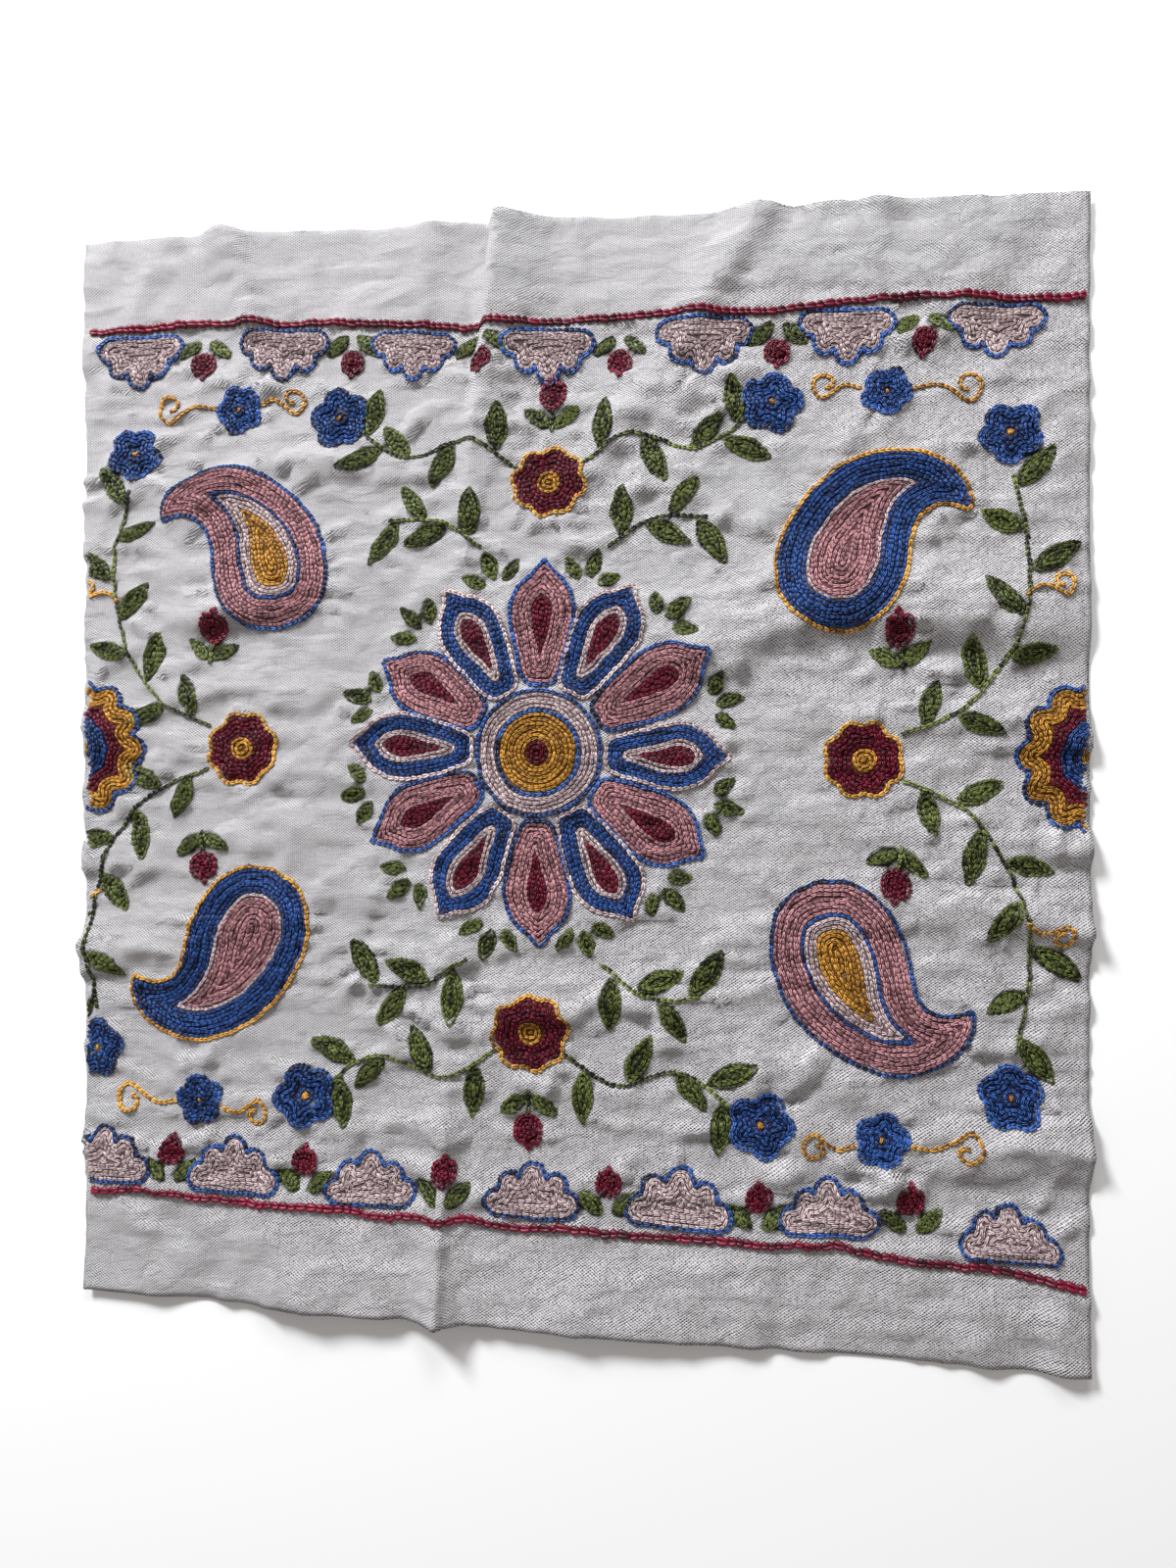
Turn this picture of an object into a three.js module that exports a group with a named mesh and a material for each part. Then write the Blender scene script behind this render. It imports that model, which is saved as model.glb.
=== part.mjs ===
// A cut length of embroidered cotton runner, lying loosely on a flat surface in the folds it was stored with.
// Units are millimetres. X runs along the runner, Y across it from selvedge to selvedge, Z is up.
// The origin is the middle of the bounding box, on the surface that the cloth lies on.
import * as THREE from "three";

// Driving sizes
const WIDTH = 450;            // selvedge to selvedge
const THICKNESS = 1.5;        // cloth with its stitching on both sides
const CUT_LEFT_TOP = -213.2;  // where the cut ends meet the two selvedges
const CUT_LEFT_BOTTOM = -182.7;
const CUT_RIGHT_TOP = 213.2;
const CUT_RIGHT_BOTTOM = 210.2;
const CONTACT_SOFTNESS = 1.4; // a fold lower than this barely leaves the surface

// Mesh divisions: columns are drawn together around the lengthwise middle crease, where the folds are sharp
const COLUMNS = 44;
const ROWS = 44;
const CREASE_FRACTION = 0.43; // how far along the length the crease lies
const CREASE_PULL = 0.45;     // 0 gives even columns, towards 1 crowds them at the crease

// Folds. Each is a crest, or a hollow where its rise is negative, on a line from (x0, y0) to (x1, y1), which
// bows out to its left by bow. It is rise0 high at its start and rise1 at its end, and falls away over the
// widths left and right of the line, as seen walking along it, and over fade past its two ends.
const FOLD_COLUMNS = ["name", "x0", "y0", "x1", "y1", "bow", "rise0", "rise1", "left", "right", "fade"];
const FOLDS = [
  ["crease, head", -31, 128, -21, 238, 0, 4, 9, 5, 15, 22],
  ["crease, middle", -31, -90, -33, 110, 1, 2.4, 2.4, 7, 8, 30],
  ["crease, foot", -32, -238, -33, -150, 0, 9, 4, 8, 8, 45],
  ["beside the crease", -60, 180, -48, 236, 0, 2, 3.4, 14, 8, 24],
  ["long diagonal", 18, 118, 92, 232, -1, 4, 5.6, 13, 8, 20],
  ["short diagonal", -116, 156, -146, 230, 0, 2.6, 5.4, 10, 9, 18],
  ["arch", -158, 98, -70, 115, 17, 3, 3.4, 9, 8, 14],
  ["arch branch", -76, 80, -94, 118, -2, 2, 3, 7, 8, 10],
  ["long ridge", 76, 42, 184, 50, 12, 7, 9.5, 27, 12, 32],
  ["under the ridge", 104, 13, 208, 8, 4, 4, 5, 11, 9, 18],
  ["left hump", -146, 56, -110, 57, 2, 6, 5, 14, 8, 17],
  ["left ripple", -213, 6, -160, 2, 2, 4, 3, 11, 10, 18],
  ["low left ridge", -213, -91, -152, -84, 1, 7, 4.5, 13, 9, 24],
  ["right ripple", 112, -24, 205, -34, -3, 3.4, 4.4, 10, 9, 20],
  ["right middle ridge", 128, -60, 212, -65, 2, 4.2, 6.5, 13, 9, 22],
  ["low middle ridge", -4, -105, 54, -102, 2, 4, 3.4, 10, 8, 18],
  ["low right ridge", 92, -122, 140, -127, 3, 5, 4, 14, 8, 16],
  ["lowest right ridge", 160, -151, 212, -147, 3, 4.5, 7.5, 14, 10, 22],
  ["foot swell, far left", -190, -222, -152, -226, 0, 3.4, 4, 16, 20, 14],
  ["foot swell, left", -92, -226, -66, -226, 0, 7.4, 7, 24, 20, 20],
  ["foot swell, middle", -12, -228, 46, -228, 0, 5.4, 6.4, 24, 20, 26],
  ["foot crease, middle", 88, -236, 93, -190, 0, 4.4, 3.2, 14, 7, 15],
  ["foot crease, right", 176, -236, 170, -200, 0, 3.2, 3.8, 8, 9, 12],
  ["foot corner, right", 200, -236, 202, -190, 0, 3.6, 2.6, 9, 12, 14],
  ["head swell, right", 120, 196, 132, 232, 0, 2.6, 4.6, 12, 14, 12],
  ["head crease, right", 158, 176, 194, 230, -2, 2.4, 3.6, 9, 10, 14],
  ["head crease, left", -186, 190, -172, 232, 0, 2.4, 3.2, 9, 9, 12],
].map((row) => Object.fromEntries(row.map((value, i) => [FOLD_COLUMNS[i], value])));

// Height of one fold over the surface at (x, y)
function foldHeight(fold, x, y) {
  const length = Math.hypot(fold.x1 - fold.x0, fold.y1 - fold.y0);
  const alongX = (fold.x1 - fold.x0) / length;
  const alongY = (fold.y1 - fold.y0) / length;
  const along = (x - fold.x0) * alongX + (y - fold.y0) * alongY;
  const leftwards = (y - fold.y0) * alongX - (x - fold.x0) * alongY;
  const t = Math.min(Math.max(along / length, 0), 1);
  const offset = leftwards - fold.bow * 4 * t * (1 - t);
  const flank = offset > 0 ? fold.left : fold.right;
  const beyond = along - t * length;
  const rise = fold.rise0 + (fold.rise1 - fold.rise0) * t;
  return rise * Math.exp(-((offset / flank) ** 2) - (beyond / fold.fade) ** 2);
}

// The cloth leaves the surface softly at the foot of each fold, and lies flat on it where no fold lifts it
function clothHeight(x, y) {
  const rise = FOLDS.reduce((sum, fold) => sum + foldHeight(fold, x, y), 0);
  const lifted = Math.max(rise - 0.25 * CONTACT_SOFTNESS, 0);
  return lifted ** 2 / (lifted + CONTACT_SOFTNESS);
}

// A fraction of the length, with the columns crowded around the crease
function crowded(fraction) {
  const turn = 2 * Math.PI;
  const wave = Math.sin(turn * (fraction - CREASE_FRACTION)) + Math.sin(turn * CREASE_FRACTION);
  return fraction - CREASE_PULL * wave / turn;
}

function clothPoint(column, row, raised) {
  const y = (row / ROWS - 0.5) * WIDTH;
  const up = row / ROWS;
  const left = CUT_LEFT_BOTTOM + (CUT_LEFT_TOP - CUT_LEFT_BOTTOM) * up;
  const right = CUT_RIGHT_BOTTOM + (CUT_RIGHT_TOP - CUT_RIGHT_BOTTOM) * up;
  const x = left + (right - left) * crowded(column / COLUMNS);
  return [x, y, clothHeight(x, y) + raised];
}

// One closed sheet: the upper and lower faces share the same grid, and a wall joins them all round
function clothGeometry() {
  const positions = [];
  for (const raised of [THICKNESS, 0]) {
    for (let row = 0; row <= ROWS; row += 1) {
      for (let column = 0; column <= COLUMNS; column += 1) {
        positions.push(...clothPoint(column, row, raised));
      }
    }
  }
  const layer = (COLUMNS + 1) * (ROWS + 1);
  const upper = (column, row) => row * (COLUMNS + 1) + column;
  const lower = (column, row) => layer + upper(column, row);
  const heightAt = (index) => positions[3 * index + 2];
  const faces = [];
  for (let row = 0; row < ROWS; row += 1) {
    for (let column = 0; column < COLUMNS; column += 1) {
      const corners = [[column, row], [column + 1, row], [column + 1, row + 1], [column, row + 1]];
      const [a, b, c, d] = corners.map(([i, j]) => upper(i, j));
      const [e, f, g, h] = corners.map(([i, j]) => lower(i, j));
      // Each cell is split along the diagonal that the fold crosses least
      if (Math.abs(heightAt(a) - heightAt(c)) <= Math.abs(heightAt(b) - heightAt(d))) {
        faces.push(a, b, c, a, c, d, e, g, f, e, h, g);
      } else {
        faces.push(a, b, d, b, c, d, e, h, f, f, h, g);
      }
    }
  }
  const wall = (a, b) => {
    faces.push(lower(...a), lower(...b), upper(...b), lower(...a), upper(...b), upper(...a));
  };
  for (let column = 0; column < COLUMNS; column += 1) {
    wall([column, 0], [column + 1, 0]);
    wall([column + 1, ROWS], [column, ROWS]);
  }
  for (let row = 0; row < ROWS; row += 1) {
    wall([COLUMNS, row], [COLUMNS, row + 1]);
    wall([0, row + 1], [0, row]);
  }
  const geometry = new THREE.BufferGeometry();
  geometry.setAttribute("position", new THREE.Float32BufferAttribute(positions, 3));
  geometry.setIndex(faces);
  geometry.computeVertexNormals();
  return geometry;
}

// Off-white plain-weave cotton
const cotton = new THREE.MeshStandardMaterial({ color: 0xdedad6, roughness: 0.9, metalness: 0 });

const cloth = new THREE.Mesh(clothGeometry(), cotton);
cloth.name = "cloth";

const runner = new THREE.Group();
runner.add(cloth);

export default runner;
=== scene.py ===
"""A cut length of off-white cotton runner with chain-stitch embroidery, lying in soft folds.

Plan sizes are in millimetres in the part's own frame: X along the runner, Y across it, Z up.
Meshes are scaled to metres as they are made.
"""
import math

import bpy
import numpy as np
from mathutils import Matrix, Vector


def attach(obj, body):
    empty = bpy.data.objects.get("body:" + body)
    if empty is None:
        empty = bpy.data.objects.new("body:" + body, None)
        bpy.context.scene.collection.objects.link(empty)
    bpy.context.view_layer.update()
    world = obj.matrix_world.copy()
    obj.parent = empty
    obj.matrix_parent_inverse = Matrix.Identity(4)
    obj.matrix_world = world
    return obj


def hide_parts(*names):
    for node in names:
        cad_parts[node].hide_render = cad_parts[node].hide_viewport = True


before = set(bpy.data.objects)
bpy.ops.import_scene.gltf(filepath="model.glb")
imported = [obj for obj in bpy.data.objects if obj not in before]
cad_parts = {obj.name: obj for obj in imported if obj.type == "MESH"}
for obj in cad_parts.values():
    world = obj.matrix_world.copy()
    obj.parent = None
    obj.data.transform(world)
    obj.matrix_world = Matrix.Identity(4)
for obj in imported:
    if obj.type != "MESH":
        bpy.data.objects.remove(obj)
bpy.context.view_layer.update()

MM = 0.001
WIDTH = 450                  # selvedge to selvedge
CUT_LEFT = (-182.7, -213.2)  # the cut ends at the foot selvedge and at the head selvedge
CUT_RIGHT = (210.2, 213.2)
CONTACT_SOFTNESS = 1.4       # a fold lower than this barely leaves the surface
CLOTH_THICKNESS = 0.55
EDGE_THICKNESS = 0.12        # at the selvedges and the cut ends
CREST_LEAN = 1.5             # the crest of the head crease leans this far over the cloth to its left
FOOT_TUCK = 4.5              # the cloth under that crest is tucked in this far
BACK_STITCH_ROOM = 0.45      # the stitches on the back hold the cloth this far off the surface
GRID_STEP = 2.2              # of the cloth's mesh
CREASE_STEP = 1.1            # of its columns about the middle crease
CREASE_FRACTIONS = (0.365, 0.465)  # the part of the length that has those closer columns
PUCKER_HEIGHT = 2.3          # of the puckers that run out from a motif's edge
PUCKER_WIDTH = 7.0           # along that edge
PUCKER_REACH = 11            # away from it, over which they fade
PUCKER_BOX = 20              # puckers are worked out this far round a motif
RASTER_HALF = 250            # the rasters of the stitched cloth have cells of 1 mm
STITCH_CLEARANCE = 0.6       # from a stitch's hole to a cut end
HAND_DRIFTS = ((1.3, 41, 1), (0.3, 8, 12))  # how far the drawing drifts, over which distance, and a seed
WEAVE_PITCH = (("X", 0.78), ("Y", 0.54))
# Points that the two border lines run through
HEAD_LINE = [(-216, 182.7), (-172, 184.2), (-130, 184.3), (-85, 182.9), (-49, 181.4), (-34, 179.4),
             (-29, 180.2), (-22, 179.6), (3, 179.3), (36, 181.1), (61, 181.4), (86, 180.0), (98, 181.3),
             (130, 183.9), (157, 184.2), (184, 182.6), (216, 183.5)]
FOOT_LINE = [(-190, -184.8), (-149, -184.0), (-110, -185.2), (-76, -184.5), (-58, -187.0), (-45, -186.0),
             (-34, -186.7), (-22, -185.2), (-6, -187.4), (10, -186.2), (38, -187.2), (69, -187.0),
             (92, -186.2), (118, -185.8), (143, -188.4), (165, -188.9), (183, -190.9), (203, -194.5),
             (216, -195.6)]

# Folds, as in the part. A crest, or a hollow where its rise is negative, on a line that bows out to its left,
# rise0 high at its start and rise1 at its end, falling away over the widths left and right, and over fade
# past its two ends.
FOLD_COLUMNS = ("x0", "y0", "x1", "y1", "bow", "rise0", "rise1", "left", "right", "fade")
FOLDS = {
    "crease, head": (-31, 128, -21, 238, 0, 4, 9, 5, 15, 22),
    "crease, middle": (-31, -90, -33, 110, 1, 2.4, 2.4, 7, 8, 30),
    "crease, foot": (-32, -238, -33, -150, 0, 9, 4, 8, 8, 45),
    "beside the crease": (-60, 180, -48, 236, 0, 2, 3.4, 14, 8, 24),
    "long diagonal": (18, 118, 92, 232, -1, 4, 5.6, 13, 8, 20),
    "short diagonal": (-116, 156, -146, 230, 0, 2.6, 5.4, 10, 9, 18),
    "arch": (-158, 98, -70, 115, 17, 3, 3.4, 9, 8, 14),
    "arch branch": (-76, 80, -94, 118, -2, 2, 3, 7, 8, 10),
    "long ridge": (76, 42, 184, 50, 12, 7, 9.5, 27, 12, 32),
    "under the ridge": (104, 13, 208, 8, 4, 4, 5, 11, 9, 18),
    "left hump": (-146, 56, -110, 57, 2, 6, 5, 14, 8, 17),
    "left ripple": (-213, 6, -160, 2, 2, 4, 3, 11, 10, 18),
    "low left ridge": (-213, -91, -152, -84, 1, 7, 4.5, 13, 9, 24),
    "right ripple": (112, -24, 205, -34, -3, 3.4, 4.4, 10, 9, 20),
    "right middle ridge": (128, -60, 212, -65, 2, 4.2, 6.5, 13, 9, 22),
    "low middle ridge": (-4, -105, 54, -102, 2, 4, 3.4, 10, 8, 18),
    "low right ridge": (92, -122, 140, -127, 3, 5, 4, 14, 8, 16),
    "lowest right ridge": (160, -151, 212, -147, 3, 4.5, 7.5, 14, 10, 22),
    "foot swell, far left": (-190, -222, -152, -226, 0, 3.4, 4, 16, 20, 14),
    "foot swell, left": (-92, -226, -66, -226, 0, 7.4, 7, 24, 20, 20),
    "foot swell, middle": (-12, -228, 46, -228, 0, 5.4, 6.4, 24, 20, 26),
    "foot crease, middle": (88, -236, 93, -190, 0, 4.4, 3.2, 14, 7, 15),
    "foot crease, right": (176, -236, 170, -200, 0, 3.2, 3.8, 8, 9, 12),
    "foot corner, right": (200, -236, 202, -190, 0, 3.6, 2.6, 9, 12, 14),
    "head swell, right": (120, 196, 132, 232, 0, 2.6, 4.6, 12, 14, 12),
    "head crease, right": (158, 176, 194, 230, -2, 2.4, 3.6, 9, 10, 14),
    "head crease, left": (-186, 190, -172, 232, 0, 2.4, 3.2, 9, 9, 12),
}
# Smaller creases that the solid doesn't carry, in the same columns
CREASES = {
    "along the head crease": (-37, 196, -33, 150, 0, -1.6, -1.2, 4, 3, 12),
    "beyond the head crease": (-16, 150, -6, 238, 0, 1.0, 1.6, 9, 14, 14),
    "foot crease, hollow": (-25, -226, -29, -196, 0, -3.0, -1.6, 4, 4, 10),
    "foot crease, second": (-17, -228, -25, -200, 0, 1.8, 1.0, 4, 4, 8),
    "beyond the long diagonal": (46, 130, 112, 226, 0, 1.0, 2.0, 9, 17, 18),
    "beside the short diagonal": (-108, 150, -134, 214, 0, -1.0, -1.6, 5, 5, 14),
    "above the long ridge": (88, 92, 150, 100, 4, 1.3, 1.6, 9, 8, 20),
    "head hollow, right": (140, 184, 122, 224, 0, -1.6, -2.0, 4, 5, 8),
    "head ray, right": (128, 214, 150, 186, 0, 1.2, 1.0, 4, 5, 8),
    "ripple over the low left": (-200, -62, -168, -60, 1, 1.4, 1.2, 5, 5, 10),
    "ripple, centre left": (-110, -30, -70, -34, -2, 1.2, 1.0, 6, 5, 12),
    "ripple, centre right": (8, 64, 52, 58, 2, 1.4, 1.2, 6, 5, 12),
    "ripple, right of centre": (70, -82, 110, -88, 2, 1.5, 1.3, 6, 5, 12),
    "ripple, low": (-96, -146, -40, -150, -2, 1.4, 1.2, 6, 5, 14),
    "ripple, low right": (100, -158, 146, -162, 2, 1.6, 1.4, 6, 5, 12),
    "head swell, far left": (-214, 204, -182, 238, 0, 1.4, 2.0, 14, 13, 10),
    "head swell, left": (-146, 236, -92, 240, 0, 2.8, 1.6, 10, 20, 8),
    "head swell, left of the crease": (-72, 238, -44, 240, 0, 1.4, 1.6, 10, 16, 8),
    "head swell, right": (140, 240, 176, 240, 0, 1.6, 1.4, 10, 18, 9),
    "margin ray, left": (-120, -192, -127, -214, 0, -1.6, -1.2, 5, 6, 6),
    "margin ray, right": (138, -196, 146, -218, 0, 1.2, 1.0, 4, 5, 6),
}

# Creases pressed sharp along their crest, in the same columns
SHARP_CREASES = {
    "edge of the head crease": (-31, 150, -22.5, 238, 0, 1.5, 4.5, 1.2, 16, 8),
    "middle crease": (-32.5, -140, -32, 140, 1, 0.9, 0.9, 2.4, 3.4, 16),
    "foot crease": (-31.5, -238, -32, -165, 0, 3.0, 1.2, 3.5, 2.0, 12),
    "foot crease, right valley": (-26, -236, -30, -190, 0, -1.8, -0.6, 2.2, 4.0, 8),
    "long diagonal": (30, 136, 91.5, 236, -1, 1.0, 2.6, 9, 17, 12),
    "short diagonal": (-120, 162, -145, 230, 0, 0.9, 1.9, 8, 9, 10),
    "arch": (-150, 103, -74, 113, 15, 1.5, 1.4, 5, 5, 8),
    "arch branch": (-78, 84, -93, 116, -2, 1.2, 1.2, 5, 5, 6),
    "head left, first": (-192, 192, -163, 230, 0, 1.6, 2.2, 4, 12, 7),
    "head left, second": (-127, 170, -157, 232, 0, 1.2, 2.4, 5, 12, 8),
    "head left, level": (-124, 205, -84, 207, 1, 1.0, 0.9, 4, 8, 9),
    "head left of the crease": (-72, 232, -58, 190, 0, 1.6, 0.8, 12, 5, 8),
    "head right, first": (134, 194, 112, 232, 0, 1.2, 2.2, 6, 14, 8),
    "head right, second": (150, 176, 172, 226, -2, 0.9, 1.8, 6, 12, 8),
    "head right, third": (126, 196, 160, 206, 2, 1.1, 0.9, 5, 6, 7),
    "margin, foot left": (-166, -194, -124, -222, 3, 1.6, 2.2, 8, 6, 8),
    "margin, foot near left": (-100, -196, -84, -230, 0, 1.3, 2.1, 10, 6, 8),
    "margin, foot left, slanting": (-76, -198, -50, -212, 2, 1.2, 1.4, 6, 8, 7),
    "margin, foot middle": (32, -196, 20, -232, 0, 1.4, 2.4, 6, 10, 8),
    "margin, foot middle, slanting": (44, -206, 74, -198, 2, 1.3, 1.2, 6, 8, 7),
    "margin, foot right": (126, -196, 110, -232, 0, 1.4, 2.2, 6, 10, 8),
    "margin, foot far right": (146, -212, 196, -206, 2, 1.3, 1.8, 8, 8, 8),
    "under the medallion": (-70, -92, -28, -99, 3, 1.2, 1.1, 4, 6, 9),
    "right of the medallion": (84, 26, 126, 14, 4, 1.3, 1.2, 5, 6, 9),
    "left of the medallion": (-152, 30, -100, 16, 3, 1.2, 1.1, 4, 6, 9),
    "over the medallion, left": (-96, 62, -58, 84, 2, 1.1, 1.0, 5, 5, 8),
    "over the medallion, right": (40, 112, 84, 92, 2, 1.2, 1.1, 5, 6, 9),
    "over the foot line": (52, -150, 98, -140, -3, 1.2, 1.1, 4, 6, 10),
    "beside the foot line": (-140, -142, -100, -150, 3, 1.1, 1.0, 5, 5, 9),
    "lower left": (-190, -108, -150, -120, 3, 1.1, 1.0, 5, 5, 9),
    "lower right": (150, -90, 206, -112, 3, 1.3, 1.2, 5, 6, 10),
    "upper right": (140, 84, 196, 104, 3, 1.2, 1.0, 5, 6, 10),
    "upper left": (-206, 96, -160, 84, 3, 1.1, 1.0, 5, 5, 9),
}


def rounded(distance, bluntness=0.2):
    """A distance that is blunt at nought"""
    return np.sqrt(distance**2 + bluntness**2) - bluntness


def fold_sum(folds, x, y, sharp=False):
    """Height that a table of folds adds up to"""
    total = np.zeros_like(x)
    for row in folds.values():
        f = dict(zip(FOLD_COLUMNS, row))
        length = math.hypot(f["x1"] - f["x0"], f["y1"] - f["y0"])
        along_x = (f["x1"] - f["x0"]) / length
        along_y = (f["y1"] - f["y0"]) / length
        along = (x - f["x0"]) * along_x + (y - f["y0"]) * along_y
        leftwards = (y - f["y0"]) * along_x - (x - f["x0"]) * along_y
        t = np.clip(along / length, 0, 1)
        offset = leftwards - f["bow"] * 4 * t * (1 - t)
        flank = np.where(offset > 0, f["left"], f["right"])
        beyond = along - t * length
        rise = f["rise0"] + (f["rise1"] - f["rise0"]) * t
        falling = rounded(offset / flank) if sharp else (offset / flank) ** 2
        total += rise * np.exp(-falling - (beyond / f["fade"]) ** 2)
    return total


def ripple(x, y, cell_x, cell_y, seed):
    """Smooth noise from -1 to 1, in cells of the given size"""
    size = 211
    lattice = np.random.default_rng(seed).uniform(-1, 1, (size, size))
    u = x / cell_x + 100
    v = y / cell_y + 100
    i = np.floor(u).astype(int)
    j = np.floor(v).astype(int)
    fu = u - i
    fv = v - j
    fu = fu * fu * (3 - 2 * fu)
    fv = fv * fv * (3 - 2 * fv)

    def corner(a, b):
        return lattice[(i + a) % size, (j + b) % size]

    low = corner(0, 0) * (1 - fu) + corner(1, 0) * fu
    high = corner(0, 1) * (1 - fu) + corner(1, 1) * fu
    return low * (1 - fv) + high * fv


def crumple(x, y, cell_x, cell_y, seed):
    """Noise with narrow crests and broad hollows"""
    coarse = ripple(x, y, cell_x, cell_y, seed)
    fine = ripple(x, y, cell_x / 2, cell_y / 2, seed)
    return 1 - 2.6 * np.abs(coarse + 0.35 * fine)


def drift(x, y, cell, seed):
    """Smooth noise for both plan directions"""
    return np.stack([ripple(x, y, cell, cell, seed), ripple(x, y, cell, cell, seed + 1)], 1)


# Threads: sRGB of the palest part of the dye on a thread's crown, and of the darkest between threads, where
# it serves as painted shade
THREADS = {
    "pink": ((214, 156, 161), (86, 50, 58)),
    "blue": ((50, 96, 174), (6, 16, 46)),
    "green": ((120, 132, 64), (8, 14, 2)),
    "gold": ((228, 168, 66), (98, 56, 8)),
    "pale": ((226, 205, 205), (128, 104, 108)),
    "crimson": ((122, 0, 42), (44, 0, 16)),
}
# Shade runs from 0 for the darkest dye to 1 for the palest; it holds the dye's own unevenness and painted
# shade. Its mean a little below a thread's crown:
MIDDLE_SHADE = {"fill": 0.66, "leaf": 0.66, "line": 0.58, "border": 0.66}
PAINTED_DEPTH_SHADE = 0.40         # painted shade: how much darker a thread is painted half way down than on its crown
CROWN_SHADE = 0.78         # mean shade on the crown in filling, before SHADES changes it
# Mean shade on the crowns of these threads, and how much their shade, painted shade included, varies against
# the others'
SHADES = {"blue": (0.72, 1.25), "green": (0.66, 1.5)}
SHADED_DYE_UNDER_STITCHES = 0.88  # share of the dark dye, which serves as painted shade, in the cloth's colour between stitches
# Kinds of chain: stitch length, half the spread of the loop, thread radius
CHAINS = {
    "fill": (2.35, 0.39, 0.40),
    "leaf": (2.3, 0.34, 0.35),
    "line": (2.4, 0.48, 0.46),
    "border": (3.5, 0.84, 0.86),
}
ROW_STEP = 1.5             # from one row of filling to the next
LEAF_ROW_STEP = 1.3        # leaves and buds are worked closer

rows = []   # every row of stitches: thread, kind of chain, points, closed
edges = []  # the outer edge of every motif on the cloth, which the stitches draw in


# Outlines and curves
def spline(points, closed=True, per=8):
    """Catmull-Rom curve through points; a doubled point makes a corner"""
    p = np.array(points, float)
    p = np.vstack([p[-1:], p, p[:2]]) if closed else np.vstack([2 * p[:1] - p[1:2], p, 2 * p[-1:] - p[-2:-1]])
    t = np.linspace(0, 1, per, endpoint=False)[:, None]
    parts = []
    for a, b, c, d in zip(p, p[1:], p[2:], p[3:]):
        if np.allclose(b, c):
            continue
        parts.append(0.5 * (2 * b + (c - a) * t + (2 * a - 5 * b + 4 * c - d) * t**2
                            + (3 * b - a - 3 * c + d) * t**3))
    if not closed:
        parts.append(p[-2:-1])
    return np.vstack(parts)


def mirrored(half, per=8):
    """A closed outline from the points of its right half, which start and end on the middle line"""
    other = [(-x, y) for x, y in reversed(half) if x > 0]
    return spline(list(half) + other, True, per)


def lobed(radius, lobes, depth, points=120):
    """A round outline with scalloped lobes"""
    a = np.linspace(0, 2 * math.pi, points, endpoint=False)
    r = radius * (1 - depth + depth * np.abs(np.cos(lobes * a / 2)) ** 0.7)
    return np.stack([r * np.sin(a), r * np.cos(a)], 1)


def paisley(length, width, lean, curl, points=44):
    """A drop with a curled tip, growing up from a round foot at the origin"""
    t = np.linspace(0, 1, points)
    heading = lean + curl * t**2.6
    step = length / (points - 1)
    middle = np.stack([np.sin(heading), np.cos(heading)], 1) * step
    middle = np.vstack([[0, 0], np.cumsum(middle, 0)[:-1]])
    half = width / 2 * np.sin(math.pi * t**0.58) ** 0.8
    side = np.stack([np.cos(heading), -np.sin(heading)], 1) * half[:, None]
    return np.vstack([middle + side, (middle - side)[-2:0:-1]])


def placed(points, at, turn=0.0, scale=1.0, flip=(1, 1)):
    """Points turned clockwise by turn degrees, scaled, moved to at, and mirrored with their quarter"""
    a = math.radians(turn)
    spin = np.array([[math.cos(a), -math.sin(a)], [math.sin(a), math.cos(a)]])
    return (np.asarray(points) * scale @ spin + np.array(at)) * np.array(flip)


# Rows of filling, parallel to the outline
def depth_inside(outline, x, y):
    """How far each grid point lies inside a closed outline, negative outside"""
    a = outline
    b = np.roll(outline, -1, 0)
    p = np.stack([x.ravel(), y.ravel()], 1)[:, None]
    edge = b - a
    t = np.clip(((p - a) * edge).sum(2) / np.maximum((edge**2).sum(1), 1e-9), 0, 1)
    near = np.sqrt(((p - a - t[..., None] * edge) ** 2).sum(2).min(1))
    crosses = (a[:, 1] > p[..., 1]) != (b[:, 1] > p[..., 1])
    rise = np.where(np.abs(edge[:, 1]) < 1e-9, 1e-9, edge[:, 1])
    left_of = p[..., 0] < (p[..., 1] - a[:, 1]) / rise * edge[:, 0] + a[:, 0]
    inside = (crosses & left_of).sum(1) % 2 == 1
    return np.where(inside, near, -near).reshape(x.shape)


def contours(field, x, y, level):
    """Closed lines on which a field over a regular grid has the given level, by marching squares"""
    above = field > level
    mixed = above[:-1, :-1].astype(int) + above[1:, :-1] + above[:-1, 1:] + above[1:, 1:]
    links = {}
    for i, j in zip(*np.nonzero((mixed > 0) & (mixed < 4))):
        ring = [(i, j), (i + 1, j), (i + 1, j + 1), (i, j + 1)]
        cut = [tuple(sorted((ring[k], ring[(k + 1) % 4]))) for k in range(4)
               if above[ring[k]] != above[ring[(k + 1) % 4]]]
        for one, two in zip(cut[::2], cut[1::2]):
            links.setdefault(one, []).append(two)
            links.setdefault(two, []).append(one)
    lines = []
    while links:
        start = next(iter(links))
        line = [start]
        onward = links.pop(start)
        while onward:
            following = next((e for e in onward if e in links), None)
            if following is None:
                break
            line.append(following)
            onward = links.pop(following)
        if len(line) > 3:
            a, b = (tuple(np.array(ends).T) for ends in zip(*line))
            t = (level - field[a]) / (field[b] - field[a])
            lines.append(np.stack([x[a] + (x[b] - x[a]) * t, y[a] + (y[b] - y[a]) * t], 1))
    return lines


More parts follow.
